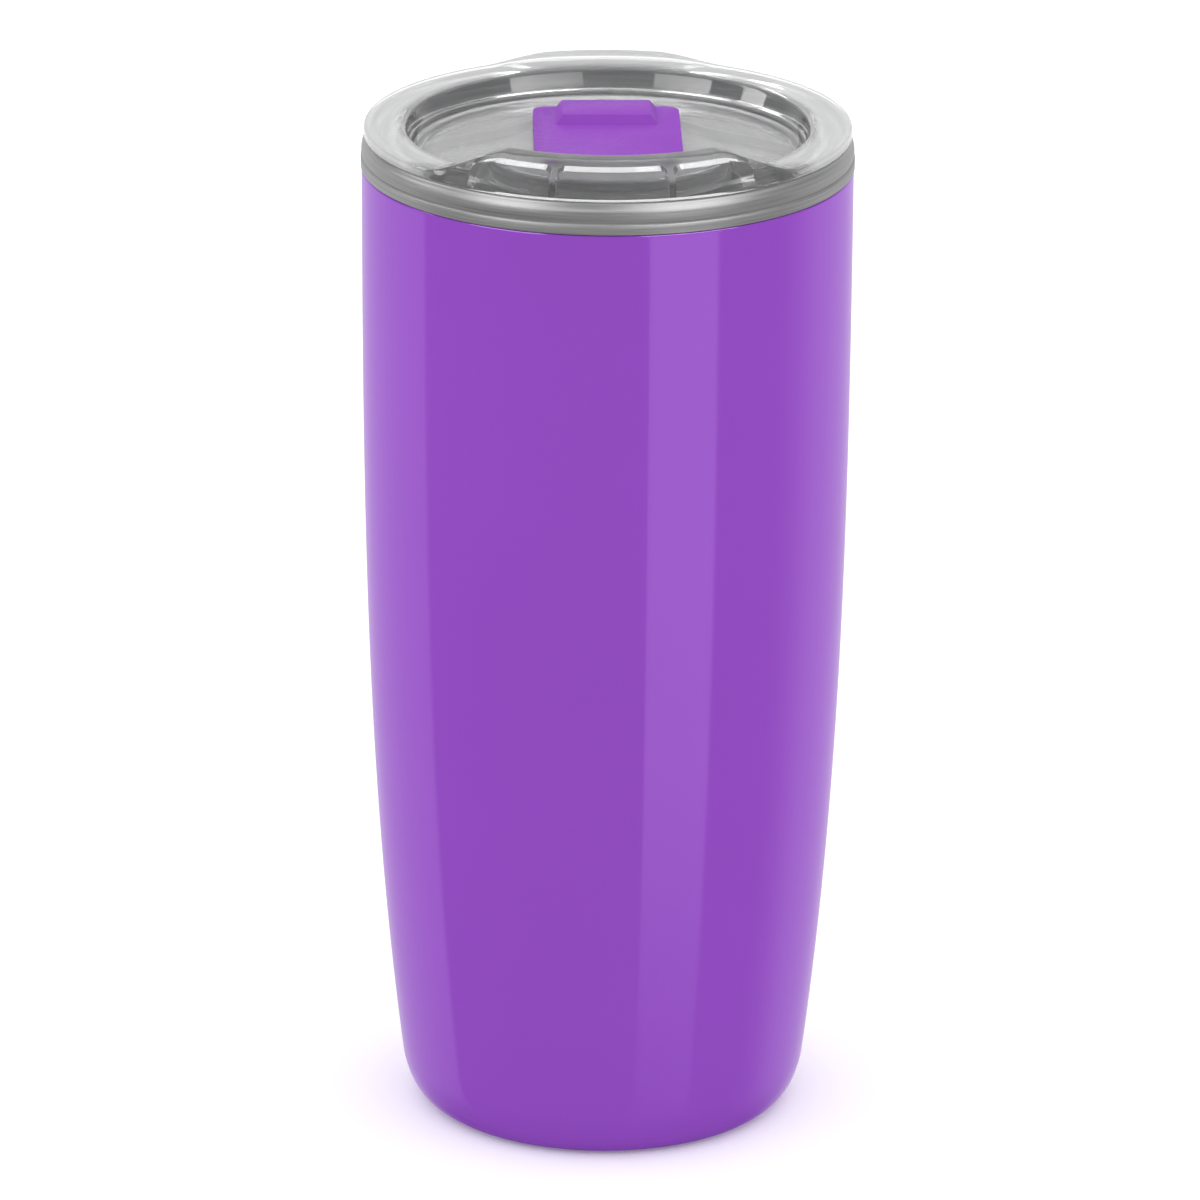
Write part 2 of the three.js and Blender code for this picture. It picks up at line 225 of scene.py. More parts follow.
def add_object(name, bm):
    """Turns a bmesh into a shown, smooth-shaded object."""
    mesh = bpy.data.meshes.new(name)
    bm.to_mesh(mesh)
    bm.free()
    shade(mesh)
    piece = bpy.data.objects.new(name, mesh)
    bpy.context.scene.collection.objects.link(piece)
    return piece


def revolved(section_at, angles):
    """A closed bmesh from sections placed round Z, all with as many points. Angle 0 faces -Y."""
    bm = bmesh.new()
    first = section_at(angles[0])
    on_axis = {i for i, (radius, _) in enumerate(first) if radius == 0}
    poles = {i: bm.verts.new((0, 0, first[i][1])) for i in on_axis}
    rows = []
    for angle in angles:
        row = []
        for i, (radius, z) in enumerate(section_at(angle)):
            place = (radius * math.sin(angle), -radius * math.cos(angle), z)
            row.append(poles[i] if i in on_axis else bm.verts.new(place))
        rows.append(row)
    last = len(first) - 1 if on_axis else len(first)
    for here, following in zip(rows, rows[1:] + rows[:1]):
        for i in range(last):
            j = (i + 1) % len(first)
            corners = [here[i], following[i], following[j], here[j]]
            unique = list(dict.fromkeys(corners))
            if len(unique) > 2:
                bm.faces.new(unique)
    return bm


def even_angles(segments):
    return [2 * math.pi * k / segments for k in range(segments)]


def turned(name, outline, segments=ROUND_SEGMENTS):
    return add_object(name, revolved(lambda angle: outline, even_angles(segments)))


def slab(half_width, front, back, corner, bottom, top):
    """A bmesh of a flat slab with rounded corners."""
    bm = bmesh.new()
    centres = [
        (half_width - corner, front + corner, -90),
        (half_width - corner, back - corner, 0),
        (corner - half_width, back - corner, 90),
        (corner - half_width, front + corner, 180),
    ]
    outline = []
    for x, y, start in centres:
        for k in range(CORNER_STEPS + 1):
            angle = math.radians(start + 90 * k / CORNER_STEPS)
            outline.append((x + corner * math.cos(angle), y + corner * math.sin(angle)))
    low = [bm.verts.new((x, y, bottom)) for x, y in outline]
    high = [bm.verts.new((x, y, top)) for x, y in outline]
    bm.faces.new(low[::-1])
    bm.faces.new(high)
    for i in range(len(outline)):
        j = (i + 1) % len(outline)
        bm.faces.new((low[i], low[j], high[j], high[i]))
    return bm


def block(x0, x1, y0, y1, z0, z1):
    """A bmesh box between two corners."""
    bm = bmesh.new()
    size = Vector((abs(x1 - x0), y1 - y0, z1 - z0))
    middle = Vector(((x0 + x1) / 2, (y0 + y1) / 2, (z0 + z1) / 2))
    bmesh.ops.create_cube(bm, matrix=Matrix.Translation(middle) @ Matrix.Diagonal(size.to_4d()))
    return bm


def apply_modifiers(piece):
    """Makes a piece's modifiers part of its mesh."""
    graph = bpy.context.evaluated_depsgraph_get()
    made = bpy.data.meshes.new_from_object(piece.evaluated_get(graph), depsgraph=graph)
    piece.modifiers.clear()
    piece.data = made


def combine(piece, bm, operation):
    """Joins a bmesh to a piece, or cuts it away."""
    tool = add_object("tool", bm)
    modifier = piece.modifiers.new("combine", "BOOLEAN")
    modifier.operation = operation
    modifier.solver = "EXACT"
    modifier.object = tool
    apply_modifiers(piece)
    bpy.data.objects.remove(tool)


def soften(piece, width):
    """Rounds a piece's edges and shades it smooth between them."""
    bevel = piece.modifiers.new("soften", "BEVEL")
    bevel.width = width
    bevel.segments = SOFTENED_SEGMENTS
    bevel.limit_method = "ANGLE"
    bevel.angle_limit = SOFTENED_ANGLE
    bevel.harden_normals = True
    apply_modifiers(piece)
    shade(piece.data, SOFTENED_ANGLE)


# ---- materials ----
# How much of the light that meets the lid's plastic passes through: flow streaks, and less where light
# is painted.
CLARITY = (0.93, 0.985)
# Painted light: rim behind the lip and floor pass less, so their white stands in for light they
# reflect.
RIM_PAINTED_LIGHT = 0.36
FLOOR_PAINTED_LIGHT = 0.17
# The radii, heights and places along Y between which the painted light sets in or fades out.
RIM_PAINTED_LIGHT_RADII = (36 * MM, 38 * MM)
RIM_PAINTED_LIGHT_HEIGHTS = (183 * MM, 185 * MM)
RIM_PAINTED_LIGHT_BACK = (-31 * MM, -24 * MM)
FLOOR_PAINTED_LIGHT_RADII = (32 * MM, 34 * MM)
FLOOR_PAINTED_LIGHT_HEIGHTS = (180 * MM, 181 * MM)
# Streaks round Z: how many a metre across them, and how much they vary along one turn.
MOULDING_RINGS = (900, 1.2)
BRUSHING_RINGS = (2600, 1.4)
# Nearly all of a noise's values lie between these.
NOISE_RANGE = (0.3, 0.7)
GRAIN_DEPTH = 0.02 * MM


class NodeTree:
    """A tree of shader nodes under construction."""

    def __init__(self, tree):
        self.nodes = tree.nodes
        self.links = tree.links

    def feed(self, socket, value):
        """Gives a socket a number, or the value of another node."""
        if isinstance(value, bpy.types.NodeSocket):
            self.links.new(value, socket)
        else:
            socket.default_value = value

    def math(self, operation, a, b=0.0):
        node = self.nodes.new("ShaderNodeMath")
        node.operation = operation
        self.feed(node.inputs[0], a)
        self.feed(node.inputs[1], b)
        return node.outputs[0]

    def split(self, place):
        """The x, y and z of a place or a direction."""
        node = self.nodes.new("ShaderNodeSeparateXYZ")
        self.links.new(place, node.inputs[0])
        return node.outputs


class Look(NodeTree):
    """A material, with the few nodes that every finish here uses."""

    def __init__(self, name):
        self.material = bpy.data.materials.new(name)
        self.material.use_nodes = True
        super().__init__(self.material.node_tree)
        self.shader = self.nodes["Principled BSDF"]
        self.place = self.nodes.new("ShaderNodeTexCoord").outputs["Object"]

    def set(self, **values):
        for key, value in values.items():
            self.shader.inputs[key.replace("_", " ")].default_value = value

    def noise(self, scale, detail=3, roughness=0.5, place=None):
        node = self.nodes.new("ShaderNodeTexNoise")
        node.inputs["Scale"].default_value = scale
        node.inputs["Detail"].default_value = detail
        node.inputs["Roughness"].default_value = roughness
        self.links.new(place or self.place, node.inputs["Vector"])
        return node.outputs["Fac"]

    def ramp(self, value, low, high, span=NOISE_RANGE):
        """From low to high as the value crosses the span."""
        node = self.nodes.new("ShaderNodeMapRange")
        self.links.new(value, node.inputs["Value"])
        node.inputs["From Min"].default_value = span[0]
        node.inputs["From Max"].default_value = span[1]
        node.inputs["To Min"].default_value = low
        node.inputs["To Max"].default_value = high
        return node.outputs["Result"]

    def colours(self, value, dark, light):
        """Colours the surface from dark to light with a noise."""
        node = self.nodes.new("ShaderNodeValToRGB")
        for stop, position, colour in zip(node.color_ramp.elements, NOISE_RANGE, (dark, light)):
            stop.position = position
            stop.color = (*colour, 1)
        self.links.new(value, node.inputs["Fac"])
        self.links.new(node.outputs["Color"], self.shader.inputs["Base Color"])

    def roughness(self, value):
        self.links.new(value, self.shader.inputs["Roughness"])

    def bump(self, height, strength, distance=GRAIN_DEPTH):
        node = self.nodes.new("ShaderNodeBump")
        node.inputs["Strength"].default_value = strength
        node.inputs["Distance"].default_value = distance
        self.links.new(height, node.inputs["Height"])
        self.links.new(node.outputs["Normal"], self.shader.inputs["Normal"])

    def radius_and_height(self):
        x, y, z = self.split(self.place)
        square = self.math("ADD", self.math("MULTIPLY", x, x), self.math("MULTIPLY", y, y))
        return self.math("SQRT", square), z

    def rings(self, across, along):
        """A coordinate that stretches a noise into fine rings round Z."""
        x, y, _ = self.split(self.place)
        radius, z = self.radius_and_height()
        divisor = self.math("MAXIMUM", radius, 1e-5)
        join = self.nodes.new("ShaderNodeCombineXYZ")
        outward = self.math("MULTIPLY", self.math("ADD", radius, z), across)
        sine = self.math("MULTIPLY", self.math("DIVIDE", x, divisor), along)
        cosine = self.math("MULTIPLY", self.math("DIVIDE", y, divisor), along)
        for socket, value in zip(join.inputs, (outward, sine, cosine)):
            self.links.new(value, socket)
        return join.outputs[0]


def grey(level):
    return (level, level, level)


def gloss_paint():
    look = Look("purple_gloss_paint")
    look.set(Metallic=0.1, Specular_IOR_Level=0.0, Coat_Weight=0.5, Coat_Roughness=0.02, Coat_IOR=1.5)
    look.colours(look.noise(14, detail=4), (0.234, 0.06, 0.432), (0.243, 0.063, 0.447))
    look.roughness(look.ramp(look.noise(60), 0.1, 0.15))
    look.bump(look.noise(420, detail=2), 0.05)
    return look.material


def brushed_steel(name, dark, light, smooth, rough):
    """Brushed steel, a little hazy, so that it stays grey where it mirrors something dark."""
    look = Look(name)
    look.set(Metallic=0.45, Anisotropic=0.4, Specular_IOR_Level=0.3)
    brushing = look.noise(1.0, detail=6, roughness=0.65, place=look.rings(*BRUSHING_RINGS))
    look.colours(brushing, grey(dark), grey(light))
    look.roughness(look.ramp(brushing, smooth, rough))
    look.bump(brushing, 0.25)
    return look.material


def clear_plastic():
    """Clear plastic, streaked in fine rings, with painted light in the floor and the rim behind the
    lip.
    """
    look = Look("clear_lid_plastic")
    look.set(IOR=1.5)
    look.colours(look.noise(40), (0.95, 0.955, 0.96), (0.975, 0.98, 0.985))
    look.roughness(look.ramp(look.noise(90, detail=4), 0.0, 0.03))
    look.bump(look.noise(160, detail=1), 0.02)
    streaks = look.ramp(look.noise(1.0, detail=4, place=look.rings(*MOULDING_RINGS)), *CLARITY)
    # Painted light: the rim behind the lip and the floor pass less, so their white stands in for
    # reflected light.
    radius, z = look.radius_and_height()
    rim_radius = look.ramp(radius, 0, 1, RIM_PAINTED_LIGHT_RADII)
    in_rim = look.math("MULTIPLY", rim_radius, look.ramp(z, 0, 1, RIM_PAINTED_LIGHT_HEIGHTS))
    behind_lip = look.ramp(look.split(look.place)[1], 0, 1, RIM_PAINTED_LIGHT_BACK)
    rim_painted_light = look.math("MULTIPLY", look.math("MULTIPLY", in_rim, behind_lip), RIM_PAINTED_LIGHT)
    floor_radius = look.ramp(radius, 1, 0, FLOOR_PAINTED_LIGHT_RADII)
    in_floor = look.math("MULTIPLY", floor_radius, look.ramp(z, 0, 1, FLOOR_PAINTED_LIGHT_HEIGHTS))
    painted_light = look.math("ADD", rim_painted_light, look.math("MULTIPLY", in_floor, FLOOR_PAINTED_LIGHT))
    clarity_less_painted_light = look.math("SUBTRACT", streaks, painted_light)
    look.links.new(clarity_less_painted_light, look.shader.inputs["Transmission Weight"])
    return look.material


def moulded_plastic():
    look = Look("slider_plastic")
    look.set(Specular_IOR_Level=0.03)
    look.colours(look.noise(220, detail=3), (0.245, 0.06, 0.43), (0.255, 0.064, 0.445))
    look.roughness(look.ramp(look.noise(900), 0.3, 0.42))
    look.bump(look.noise(2600, detail=2), 0.08)
    return look.material


def silicone():
    look = Look("clear_silicone")
    look.set(Transmission_Weight=0.35, IOR=1.41)
    look.colours(look.noise(300), (0.68, 0.69, 0.7), (0.78, 0.79, 0.8))
    look.roughness(look.ramp(look.noise(500), 0.4, 0.55))
    look.bump(look.noise(1500), 0.1, 0.03 * MM)
    return look.material


def fused_glass():
    look = Look("sealing_glass")
    look.colours(look.noise(700, detail=4), (0.02, 0.03, 0.026), (0.06, 0.075, 0.068))
    look.roughness(look.ramp(look.noise(900), 0.08, 0.25))
    look.bump(look.noise(800), 0.2, 0.05 * MM)
    return look.material


def pressed_powder():
    look = Look("getter_alloy")
    look.set(Metallic=0.5)
    look.colours(look.noise(2400, detail=6), (0.05, 0.05, 0.055), (0.16, 0.16, 0.17))
    look.roughness(look.ramp(look.noise(1800), 0.65, 0.9))
    look.bump(look.noise(2600, detail=5), 0.6, 0.06 * MM)
    return look.material


def dress(piece, material, body, node):
    """Gives a piece its material, and ties it to the CAD body and node that it stands for."""
    piece.data.materials.clear()
    piece.data.materials.append(material)
    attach(piece, body)
    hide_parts(node)


# ---- vessel ----
def painted_shell():
    foot_bevel = 0.25 * MM
    top_bevel = 0.3 * MM
    bevel_middle = (RIM_RADIUS - 0.1 * MM, BODY_HEIGHT - 0.08 * MM)
    # The stretch under the bevel is short, so that the bevel's shading doesn't reach down the wall.
    last_stretch = 0.2 * MM
    corner_end = (body_radius(CORNER_TOP), CORNER_TOP)
    outline = [(FOOT_INNER, foot_bevel), (FOOT_INNER + foot_bevel, 0)]
    outline += curve((FOOT_OUTER, 0), (CORNER_RADIUS, 0), corner_end, 16)
    outline += wall(body_radius, CORNER_TOP, BODY_HEIGHT - top_bevel - last_stretch, 40)[1:]
    outline += [(RIM_RADIUS, BODY_HEIGHT - top_bevel), bevel_middle]
    outline += [(RIM_RADIUS - top_bevel, BODY_HEIGHT), (RIM_RADIUS - SHELL_WALL, BODY_HEIGHT)]
    outline += wall(lambda z: body_radius(z) - SHELL_WALL, BODY_HEIGHT, CORNER_TOP, 20)[1:]
    inside = (CORNER_RADIUS - SHELL_WALL, SHELL_WALL)
    outline += curve(outline[-1], inside, (FOOT_OUTER, SHELL_WALL))[1:]
    outline += [(FOOT_INNER, SHELL_WALL)]
    return turned("painted_shell", outline)


def folded_lip():
    """The liner's outline out under the lip, up the bare band, over the crest and down the mouth."""
    low = BODY_HEIGHT + SEAT_GAP
    foot_bevel = 0.15 * MM
    top_bevel = (0.08 * MM, 0.12 * MM)
    neck_outer = liner_outer(NECK_TOP)
    neck_inner = liner_inner(NECK_TOP)
    outline = curve((neck_outer, NECK_TOP), (neck_outer, low), (RIM_RADIUS - SHELL_WALL, low))[1:]
    outline += [(LIP_RADIUS - foot_bevel, low), (LIP_RADIUS, low + foot_bevel)]
    outline += [(LIP_RADIUS, LIP_BAND_TOP - top_bevel[1]), (LIP_RADIUS - top_bevel[0], LIP_BAND_TOP)]
    bead_foot = (LIP_RADIUS - LIP_BAND_STEP, LIP_BAND_TOP + LIP_BAND_STEP / 2)
    bulge = (LIP_BEAD_BULGE, (LIP_BAND_TOP + LIP_BEAD_TOP) / 2)
    shoulder = (LIP_SHOULDER, LIP_BEAD_TOP)
    outline += curve(bead_foot, bulge, shoulder, 14)
    crest_corner = (LIP_SHOULDER - (LIP_SHOULDER - LIP_CREST) / 3, LIP_TOP)
    crest = (LIP_CREST, LIP_TOP)
    outline += curve(shoulder, crest_corner, crest, 8)[1:]
    outline += curve(crest, (MOUTH_RADIUS, LIP_TOP), (MOUTH_RADIUS, LIP_TOP - MOUTH_EASE), 6)[1:]
    ledge_corner = (MOUTH_RADIUS, MOUTH_LEDGE)
    ledge_end = (MOUTH_RADIUS - MOUTH_EASE, MOUTH_LEDGE)
    outline += curve((MOUTH_RADIUS, MOUTH_LEDGE + MOUTH_EASE), ledge_corner, ledge_end, 6)
    outline += curve(ledge_end, (neck_inner, MOUTH_LEDGE), (neck_inner, NECK_TOP), 12)[1:]
    return outline


def steel_liner():
    corner = (liner_outer(LINER_FLOOR), LINER_FLOOR)
    corner_end = (liner_outer(LINER_CORNER_TOP), LINER_CORNER_TOP)
    outline = [(0, LINER_FLOOR)]
    outline += curve((LINER_CORNER_FLAT, LINER_FLOOR), corner, corner_end, 12)
    outline += wall(liner_outer, LINER_CORNER_TOP, NECK_TOP, 16)[1:]
    outline += folded_lip()
    outline += wall(liner_inner, NECK_TOP, LINER_CORNER_TOP, 32)[1:]
    floor_top = LINER_FLOOR + LINER_WALL
    inner_corner = (liner_inner(LINER_FLOOR), floor_top)
    outline += curve(outline[-1], inner_corner, (LINER_CORNER_FLAT, floor_top), 14)[1:]
    outline += [(0.5 * LINER_CORNER_FLAT, floor_top), (0, floor_top)]
    return turned("steel_liner", outline)


def base_disc():
    low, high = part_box("outer_base")
    sheet = 0.7 * MM
    hole = 1.5 * MM
    hem = 0.15 * MM
    inner_bend = 0.8 * MM
    outer_bend = 1.2 * MM
    outline = eased([
        (hole, high.z - sheet),
        (high.x - sheet, high.z - sheet, inner_bend),
        (high.x - sheet, low.z, hem),
        (high.x, low.z, hem),
        (high.x, high.z, outer_bend),
        (hole, high.z),
    ])
    return turned("base_disc", outline)


def base_cover():
    low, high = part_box("base_cover")
    ring = high.x * 0.86
    step = 0.25 * MM
    bend = 0.2 * MM
    lower_ease = 0.3 * MM
    upper_ease = 0.1 * MM
    outline = eased([
        (0, low.z + step),
        (ring - step, low.z + step, bend),
        (ring, low.z, bend),
        (high.x, low.z, lower_ease),
        (high.x, high.z, upper_ease),
        (0, high.z),
    ])
    return turned("base_cover_disc", outline)


def seal_bead():
    low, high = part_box("seal_bead")
    stem = 1.2 * MM
    stem_ease = 0.4 * MM
    cap_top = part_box("outer_base")[1].z - 0.8 * MM
    outline = curve((0, low.z), (0.7 * high.x, low.z), (high.x, cap_top))
    outline += [(stem, cap_top)]
    outline += curve((stem, high.z - stem_ease), (stem, high.z), (0, high.z), 6)
    return turned("sealing_bead", outline, SMALL_SEGMENTS)


def turned_beside(name, outline, low, high):
    """A small turned piece, moved from the axis to the middle of its node's box."""
    piece = turned(name, outline, SMALL_SEGMENTS)
    piece.location = ((low.x + high.x) / 2, (low.y + high.y) / 2, 0)
    return piece


def getter_cup():
    low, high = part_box("getter_holder")
    sheet = 0.4 * MM
    radius = (high.x - low.x) / 2
    hem = 0.1 * MM
    outer_bend = 0.5 * MM
    inner_bend = 0.3 * MM
    outline = eased([
        (0, low.z),
        (radius, low.z, outer_bend),
        (radius, high.z, hem),
        (radius - sheet, high.z, hem),
        (radius - sheet, low.z + sheet, inner_bend),
        (0, low.z + sheet),
    ])
    return turned_beside("getter_cup", outline, low, high)


def getter_pill():
    low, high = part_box("getter_pellet")
    radius = (high.x - low.x) / 2
    ease = 0.3 * MM
    outline = eased([(0, low.z), (radius, low.z, ease), (radius, high.z, ease), (0, high.z)])
    return turned_beside("getter_pill", outline, low, high)


# ---- lid ----
def smooth_step(value, low, high):
    share = min(1, max(0, (value - low) / (high - low)))
    return share * share * (3 - 2 * share)


def rim_at(angle):
    """The rim's section at an angle from the front: the one of the sides, blended into the lips'."""
    from_front = math.degrees(math.acos(math.cos(angle)))
    front = 1 - smooth_step(from_front, *FRONT_LIP)
    back = 1 - smooth_step(180 - from_front, *BACK_LIP)
    return {
        key: side + (RIM_FRONT[key] - side) * front + (RIM_BACK[key] - side) * back
        for key, side in RIM_SIDE.items()
    }


def lid_section(angle):
    """The lid's section: floor, plug with the gasket's groove, flared neck, flange, rim and recess."""
    rim = rim_at(angle)
    plug = eased([
        (0, FLOOR_BOTTOM),
        (PLUG_INNER, FLOOR_BOTTOM, PLUG_FILLET),
        (PLUG_INNER, PLUG_BOTTOM, PLUG_EASE),
        (PLUG_OUTER, PLUG_BOTTOM, RIM_EASE),
        (PLUG_OUTER, GROOVE_BOTTOM, GROOVE_EASE),
        (GROOVE_RADIUS, GROOVE_BOTTOM),
        (GROOVE_RADIUS, GROOVE_TOP),
        (PLUG_OUTER, GROOVE_TOP, GROOVE_EASE),
        (PLUG_OUTER, PLUG_TOP),
    ])
    neck_corner = (LID_NECK_RADIUS, LID_NECK_BOTTOM)
    neck_foot = (LID_NECK_RADIUS - 2 * FLANGE_EASE, LID_NECK_BOTTOM)
    neck_side = (LID_NECK_RADIUS, LID_NECK_BOTTOM + 2 * FLANGE_EASE)
    neck = curve(plug[-1], (PLUG_OUTER, LID_NECK_BOTTOM), neck_foot)[1:]
    neck += curve(neck_foot, neck_corner, neck_side, 6)[1:]
    rim_part = eased([
        (LID_NECK_RADIUS, FLANGE_BOTTOM),
        (FLANGE_RADIUS, FLANGE_BOTTOM, FLANGE_EASE),
        (rim["outer"], rim["outer_top"], RIM_EASE),
        (rim["inner"], rim["inner_top"], RIM_EASE),
        (rim["foot"], FLOOR_TOP, FLOOR_FILLET),
        (0, FLOOR_TOP),
    ])
    return [*plug, *neck, *rim_part]


def lip_face(radius, rim):
    """Height of the lid's top at a radius: the rim's top, or the sloping face outside it."""
    if radius <= rim["outer"]:
        return rim["outer_top"]
    drop = (rim["outer_top"] - FLANGE_BOTTOM) / (FLANGE_RADIUS - rim["outer"])
    return rim["outer_top"] - drop * (radius - rim["outer"])


def lip_pocket(start, end):
    """A bmesh of the space in one pocket, between two angles in degrees, its roof's corners rounded."""
    bm = bmesh.new()
    rows = []
    below = FLOOR_BOTTOM - MM
    for k in range(POCKET_STEPS + 1):
        share = 0.5 - 0.5 * math.cos(math.pi * k / POCKET_STEPS)
        angle = math.radians(start + (end - start) * share)
        from_start = abs(angle - math.radians(start))
        from_end = abs(math.radians(end) - angle)
        corner = max(0, 1 - POCKET_INNER * min(from_start, from_end) / POCKET_CORNER)
        drop = POCKET_ROOF + POCKET_CORNER * (1 - math.sqrt(1 - corner * corner))
        rim = rim_at(angle)
        section = [(POCKET_INNER, below), (POCKET_OUTER, below)]
        section += [(radius, lip_face(radius, rim) - drop) for radius in (POCKET_OUTER, POCKET_INNER)]
        rows.append([bm.verts.new((r * math.sin(angle), -r * math.cos(angle), z)) for r, z in section])
    for here, following in zip(rows, rows[1:]):
        for i in range(4):
            j = (i + 1) % 4
            bm.faces.new((here[i], following[i], following[j], here[j]))
    bm.faces.new(rows[0])
    bm.faces.new(rows[-1][::-1])
    return bm


def clear_lid():
    piece = add_object("clear_lid", revolved(lid_section, even_angles(LID_SEGMENTS)))
    for start, end in POCKET_ANGLES:
        combine(piece, lip_pocket(start, end), "DIFFERENCE")
    below = FLOOR_BOTTOM - MM
    above = FLOOR_TOP + MM
    drink_hole = slab(
        DRINK_HOLE_HALF, DRINK_HOLE_FRONT, DRINK_HOLE_BACK, DRINK_HOLE_CORNER, below, above
    )
    combine(piece, drink_hole, "DIFFERENCE")
    vent_outline = [(0, below), (VENT_RADIUS, below), (VENT_RADIUS, above), (0, above)]
    vent = revolved(lambda angle: vent_outline, even_angles(VENT_SEGMENTS))
    bmesh.ops.translate(vent, verts=vent.verts, vec=(0, VENT_Y, 0))
    combine(piece, vent, "DIFFERENCE")
    slot_half = LEG_WIDTH / 2 + FIT_GAP
    slot_start = LEG_Y - LEG_LENGTH / 2 - FIT_GAP
    slot_end = LEG_Y + LEG_LENGTH / 2 + TRAVEL + FIT_GAP
    for side in (-LEG_X, LEG_X):
        slot = block(side - slot_half, side + slot_half, slot_start, slot_end, below, above)
        combine(piece, slot, "DIFFERENCE")
    shade(piece.data)
    return piece


def gasket_ring():
    low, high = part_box("lid_gasket")
    inner = 38.45 * MM
    body = 39.4 * MM
    fin = high.x
    pitch = (high.z - low.z) / 4
    edge_ease = 0.1 * MM
    fin_ease = 0.2 * MM
    valley_ease = 0.15 * MM
    outline = eased([
        (inner, low.z, edge_ease),
        (body, low.z, edge_ease),
        (fin, low.z + pitch, fin_ease),
        (body, low.z + 2 * pitch, valley_ease),
        (fin, low.z + 3 * pitch, fin_ease),
        (body, high.z, edge_ease),
        (inner, high.z, edge_ease),
    ])
    return turned("gasket_ring", outline)


# ---- slider ----
def grip_bar():
    """A bmesh of the raised bar that a thumb pushes: wider at its foot than at its top."""
    bm = bmesh.new()
    foot = PLATE_TOP - JOIN_OVERLAP
    top = SLIDER_HIGH.z
    half = GRIP_HALF
    inset = half - GRIP_END_SLOPE
    front = GRIP_FRONT + GRIP_SLOPE
    back = GRIP_BACK - GRIP_SLOPE / 2
    low = [(-half, GRIP_FRONT), (half, GRIP_FRONT), (half, GRIP_BACK), (-half, GRIP_BACK)]
    high = [(-inset, front), (inset, front), (inset, back), (-inset, back)]
    lower = [bm.verts.new((x, y, foot)) for x, y in low]
    upper = [bm.verts.new((x, y, top)) for x, y in high]
    bm.faces.new(lower[::-1])
    bm.faces.new(upper)
    for i in range(4):
        j = (i + 1) % 4
        bm.faces.new((lower[i], lower[j], upper[j], upper[i]))
    return bm


def purple_slider():
    plate = slab(SLIDER_HIGH.x, SLIDER_LOW.y, SLIDER_HIGH.y, PLATE_CORNER, PLATE_BOTTOM, PLATE_TOP)
    piece = add_object("purple_slider", plate)
    combine(piece, grip_bar(), "UNION")
    front = LEG_Y - LEG_LENGTH / 2
    back = LEG_Y + LEG_LENGTH / 2
    bottom = SLIDER_LOW.z
    for side in (-1, 1):
        inner = side * (LEG_X - LEG_WIDTH / 2)
        outer = side * (LEG_X + LEG_WIDTH / 2)
        tip = side * (LEG_X + LEG_WIDTH / 2 + LEG_HOOK)
        leg = block(inner, outer, front, back, bottom, PLATE_BOTTOM + JOIN_OVERLAP)
        hook = block(inner, tip, front, back, bottom, bottom + HOOK_HEIGHT)
        combine(piece, leg, "UNION")
        combine(piece, hook, "UNION")
    # The seal sits in a pocket under the plate.
    half = SEAL_HIGH.x + FIT_GAP
    front = SEAL_LOW.y - FIT_GAP
    back = SEAL_HIGH.y + FIT_GAP
    corner = SEAL_CORNER + FIT_GAP
    pocket = slab(half, front, back, corner, SEAL_POCKET_BOTTOM, SEAL_HIGH.z + SEAT_GAP)
    combine(piece, pocket, "DIFFERENCE")
    soften(piece, SLIDER_BEVEL)
    return piece


def drink_seal():
    pad = slab(SEAL_HIGH.x, SEAL_LOW.y, SEAL_HIGH.y, SEAL_CORNER, SEAL_LOW.z, SEAL_HIGH.z)
    piece = add_object("drink_seal", pad)
    soften(piece, SEAL_BEVEL)
    return piece


# ---- the stage ----
LENS = 247.2
SENSOR_WIDTH = 36
CAMERA_DISTANCE = 1.5
CAMERA_TARGET_Z = 95.3 * MM
CAMERA_TARGET_LEFT = 0.94 * MM
# Above the horizon, round Z from the front, and the picture's own tilt.
CAMERA_ELEVATION = math.radians(19.5)
CAMERA_AZIMUTH = math.radians(-1.3)
CAMERA_ROLL = math.radians(0.33)

FLOOR_HALF_SIZE = 6
FLOOR_GLOW = 0.1

# Brightness that shiny surfaces see: in front, in the strip light, to the sides and behind, above, and
# in the windows.
GLOSS_BASE = 0.14
GLOSS_STRIP = 1.6
GLOSS_BACK = 1.05
GLOSS_ABOVE = 0.9
GLOSS_WINDOW = 7.5
# Brightness that dull surfaces get from straight below and from straight above, and how much more of it
# comes from the sides.
DIFFUSE_LIGHT = (0.6, 1.17)
DIFFUSE_SIDES = 0.8

# Where the lights are, in degrees round Z from the front, positive to the right.
STRIP_ANGLES = (18.5, 52)
STRIP_SOFTNESS = (0.7, 1.5)
LEFT_EDGE = (-98, -94)
RIGHT_EDGE = (84, 118)
BACK_EDGE = (120, 135)
WINDOW_ANGLES = ((-107, -90), (-68, -31), (15, 62))
WINDOW_SOFTNESS = (0.8, 0.8)
# Where they begin or end in height, as the Z of a direction: 0 at the horizon, 1 straight above.
DARK_GROUND = (-0.45, -0.75)
STRIP_FOOT = (-0.62, -0.36)
STRIP_FOOT_SHARE = 0.3
HORIZON = (-0.02, 0.06)
WINDOW_SILL = (0.18, 0.24)
CEILING = (0.5, 0.7)


